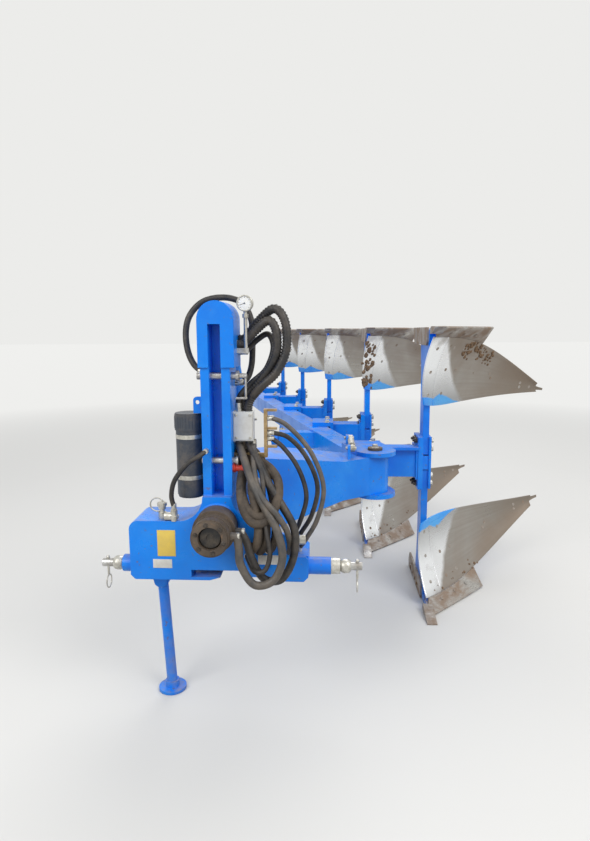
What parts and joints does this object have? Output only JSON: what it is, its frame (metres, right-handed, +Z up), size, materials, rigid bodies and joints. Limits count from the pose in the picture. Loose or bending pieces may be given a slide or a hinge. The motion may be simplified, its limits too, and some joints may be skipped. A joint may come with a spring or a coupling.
{
  "type": "mounted reversible mouldboard plough",
  "caption": "Mounted reversible plough: headstock with tower and park stand, turnover frame with paired curved mouldboard bodies above and below, pendulum depth wheel.",
  "frame": {"origin": "on the axis of the lower link pins, straight below the turnover axle", "axes": "+X to the side of the mouldboard wings, along the lower link pins; +Y to the rear, against the line of travel; +Z up"},
  "size_m": [2.6969, 6.1204, 1.8278],
  "materials": {
    "blue_paint": "gloss azure enamel with field dirt",
    "worn_steel": "soil-polished steel with brown film",
    "zinc": "zinc plated",
    "dark_plastic": "dark grey plastic",
    "hose_rubber": "black rubber hose",
    "dull_steel": "grey-brown cast surface",
    "tan_bar": "yellow passivated bar",
    "tyre": "black tyre rubber"
  },
  "bodies": {
    "headstock": {"headstock_base": "blue_paint", "tower": "blue_paint", "tower_cap": "blue_paint", "lower_link_shaft": "worn_steel", "link_sleeves": "blue_paint", "link_collar": "zinc", "linch_pins": "zinc", "top_link_pin": "worn_steel", "spare_link_pin": "worn_steel", "document_tube": "dark_plastic", "pressure_gauge": "zinc", "junction_box": "zinc", "hose_holder": "tan_bar", "rotary_union": "dull_steel", "turnover_cylinder": "blue_paint", "cylinder_rod": "worn_steel", "upper_hoses": "hose_rubber", "middle_hoses": "hose_rubber", "lower_hoses": "hose_rubber", "side_hose": "hose_rubber", "hose_couplers": "zinc", "tilt_screw": "zinc"},
    "stand": {"stand_leg": "blue_paint"},
    "frame": {"turnover_axle": "dull_steel", "carrier": "blue_paint", "frame_pin": "dull_steel", "width_spindle": "zinc", "main_beam": "blue_paint", "body_arms": "blue_paint", "leg_brackets": "blue_paint", "legs_lower": "blue_paint", "legs_upper": "blue_paint", "frogs_lower": "blue_paint", "frogs_upper": "blue_paint", "mouldboards_lower": "worn_steel", "mouldboards_upper": "worn_steel", "shins_lower": "worn_steel", "shins_upper": "worn_steel", "shares_lower": "worn_steel", "shares_upper": "worn_steel", "points_lower": "worn_steel", "points_upper": "worn_steel", "landsides_lower": "worn_steel", "landsides_upper": "worn_steel", "tail_pieces_lower": "worn_steel", "tail_pieces_upper": "worn_steel", "wheel_bracket": "blue_paint"},
    "pendulum": {"pendulum_arm": "blue_paint"},
    "wheel": {"wheel_rim": "blue_paint", "wheel_tyre": "tyre"}
  },
  "joints": [
    {"name": "turnover", "type": "hinge", "parent": "headstock", "child": "frame", "pos_m": [0, 0, 0.2], "axis": [0, -1, 0], "range_deg": [0, 180]},
    {"name": "stand_fold", "type": "hinge", "parent": "headstock", "child": "stand", "pos_m": [-0.285, 0.064, -0.098], "axis": [0, 1, 0], "range_deg": [0, 90]},
    {"name": "wheel_swing", "type": "hinge", "parent": "frame", "child": "pendulum", "pos_m": [0.067, 2, 0.2], "axis": [1, 0, 0], "range_deg": [0, 100]},
    {"name": "wheel_spin", "type": "hinge", "parent": "pendulum", "child": "wheel", "pos_m": [-0.057, 2.46281, -0.35155], "axis": [1, 0, 0], "continuous": true}
  ]
}
